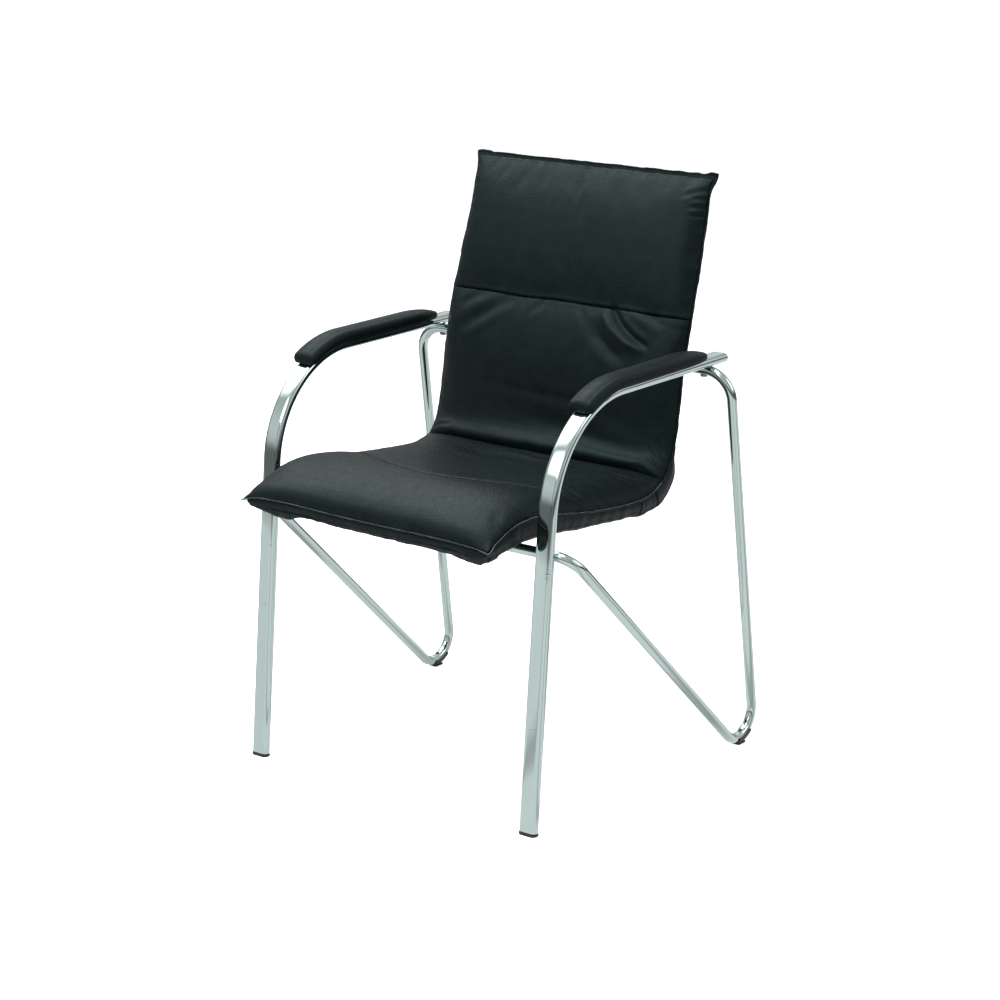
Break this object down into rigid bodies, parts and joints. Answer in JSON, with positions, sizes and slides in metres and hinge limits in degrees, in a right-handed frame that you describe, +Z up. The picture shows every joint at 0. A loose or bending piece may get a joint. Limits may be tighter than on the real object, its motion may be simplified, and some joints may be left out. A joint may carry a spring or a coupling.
{
  "type": "sled base visitor chair",
  "caption": "Visitor armchair on a bent chromed tube frame with V-shaped rear legs, curved padded arms and a one-piece black leatherette seat and back with stitched seams.",
  "frame": {"origin": "centre of the bounding box, on the floor", "axes": "+Z up; the sitter faces -Y; the sitter's left hand is on +X"},
  "size_m": [0.644, 0.6068, 0.9083],
  "materials": {
    "chrome": "bright chromium plate, mirror-like",
    "leatherette": "fine-grained leatherette, soft satin",
    "black_plastic": "moulded, matt",
    "plywood": "bare beech plywood, hidden",
    "foam": "open-cell foam, hidden",
    "zinc_steel": "zinc-plated"
  },
  "bodies": {
    "root": {"leg_arm_tube_left": "chrome", "leg_arm_tube_right": "chrome", "arm_end_cap_left": "chrome", "arm_end_cap_right": "chrome", "rear_loop_tube": "chrome", "shell_cover": "leatherette", "seat_cushion": "leatherette", "back_cushion": "leatherette", "seam_flange": "leatherette", "arm_pad_left": "leatherette", "arm_pad_right": "leatherette", "front_foot_plug_left": "black_plastic", "front_foot_plug_right": "black_plastic", "rear_foot_clip_left": "black_plastic", "rear_foot_clip_right": "black_plastic", "seat_saddle_left": "black_plastic", "seat_saddle_right": "black_plastic", "back_saddle_left": "black_plastic", "back_saddle_right": "black_plastic", "arm_pad_base_left": "black_plastic", "arm_pad_base_right": "black_plastic", "plywood_shell": "plywood", "seat_foam": "foam", "loop_joint_sleeve": "zinc_steel", "rear_foot_pin_left": "zinc_steel", "rear_foot_pin_right": "zinc_steel", "seat_screw_left": "zinc_steel", "seat_screw_right": "zinc_steel", "seat_tee_nut_left": "zinc_steel", "seat_tee_nut_right": "zinc_steel", "back_screw_left": "zinc_steel", "back_screw_right": "zinc_steel", "back_tee_nut_left": "zinc_steel", "back_tee_nut_right": "zinc_steel", "leg_bolt_left": "zinc_steel", "leg_bolt_right": "zinc_steel", "leg_bolt_insert_left": "zinc_steel", "leg_bolt_insert_right": "zinc_steel", "arm_bolt_left": "zinc_steel", "arm_bolt_right": "zinc_steel", "arm_bolt_insert_left": "zinc_steel", "arm_bolt_insert_right": "zinc_steel", "arm_pad_screw_left_front": "zinc_steel", "arm_pad_screw_left_rear": "zinc_steel", "arm_pad_screw_right_front": "zinc_steel", "arm_pad_screw_right_rear": "zinc_steel"}
  },
  "joints": []
}
